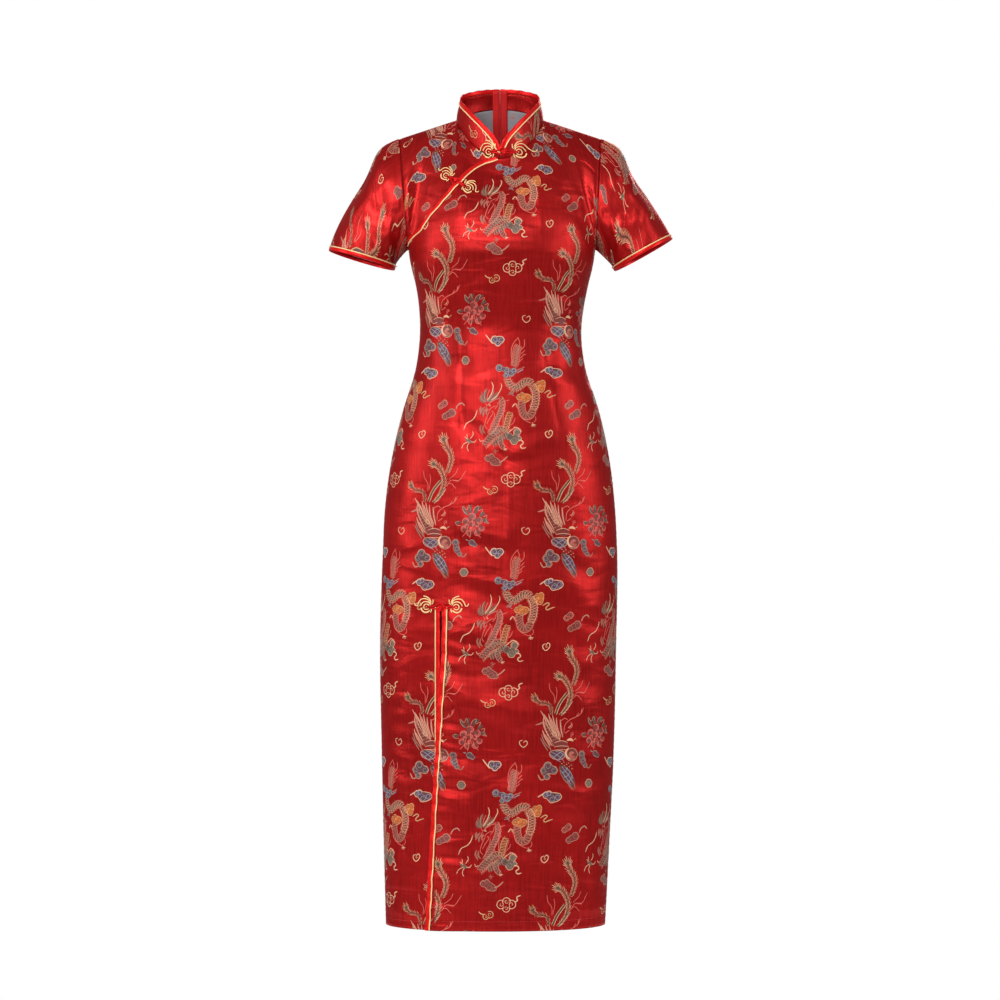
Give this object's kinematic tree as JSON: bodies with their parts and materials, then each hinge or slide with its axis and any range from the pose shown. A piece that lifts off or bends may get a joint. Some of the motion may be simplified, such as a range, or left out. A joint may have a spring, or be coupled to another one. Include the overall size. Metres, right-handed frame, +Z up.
{
  "type": "cheongsam dress",
  "caption": "Long fitted dress, worn and hollow, with a standing collar, curved front opening, short set-in sleeves, a front slit, corded frogs and a back zip.",
  "frame": {"origin": "middle of the body between the two shoulder seams, where the wearer's shoulders carry the dress", "axes": "+Z up along the standing wearer, the front faces -Y, +X is the wearer's left"},
  "size_m": [0.537, 0.2453, 1.3092],
  "materials": {
    "brocade": "red satin-ground jacquard with woven dragon, phoenix, flower and cloud motifs",
    "red_satin": "plain bright red satin bias strip and rolled cord",
    "gold_cord": "pale gold lustrous cord",
    "zip_tape": "woven red polyester zip tape",
    "zip_metal": "red enamelled zip slider and pull"
  },
  "bodies": {
    "dress": {"back_left": "brocade", "back_right": "brocade", "collar_binding_left": "red_satin", "collar_binding_right": "red_satin", "collar_left": "brocade", "collar_piping_left": "gold_cord", "collar_piping_right": "gold_cord", "collar_right": "brocade", "cuff_band_left": "red_satin", "cuff_band_right": "red_satin", "cuff_piping_left": "gold_cord", "cuff_piping_right": "gold_cord", "frog_chest_knot": "red_satin", "frog_chest_loop": "red_satin", "frog_chest_wing_left": "gold_cord", "frog_chest_wing_right": "gold_cord", "frog_neck_knot": "red_satin", "frog_neck_loop": "red_satin", "frog_neck_wing_left": "gold_cord", "frog_neck_wing_right": "gold_cord", "frog_slit_knot": "red_satin", "frog_slit_loop": "red_satin", "frog_slit_wing_left": "gold_cord", "frog_slit_wing_right": "gold_cord", "front_main": "brocade", "front_under": "brocade", "placket_binding": "red_satin", "placket_piping": "gold_cord", "sleeve_left": "brocade", "sleeve_right": "brocade", "slit_main_binding": "red_satin", "slit_main_piping": "gold_cord", "slit_side_binding": "red_satin", "slit_side_piping": "gold_cord", "zip_slider": "zip_metal", "zip_tape_left": "zip_tape", "zip_tape_right": "zip_tape"},
    "pull": {"zip_pull": "zip_metal"}
  },
  "joints": [
    {"name": "zip_pull_swing", "type": "hinge", "parent": "dress", "child": "pull", "pos_m": [0.00019, 0.06787, 0.02762], "axis": [1, 0, 0], "range_deg": [0, 120]}
  ]
}
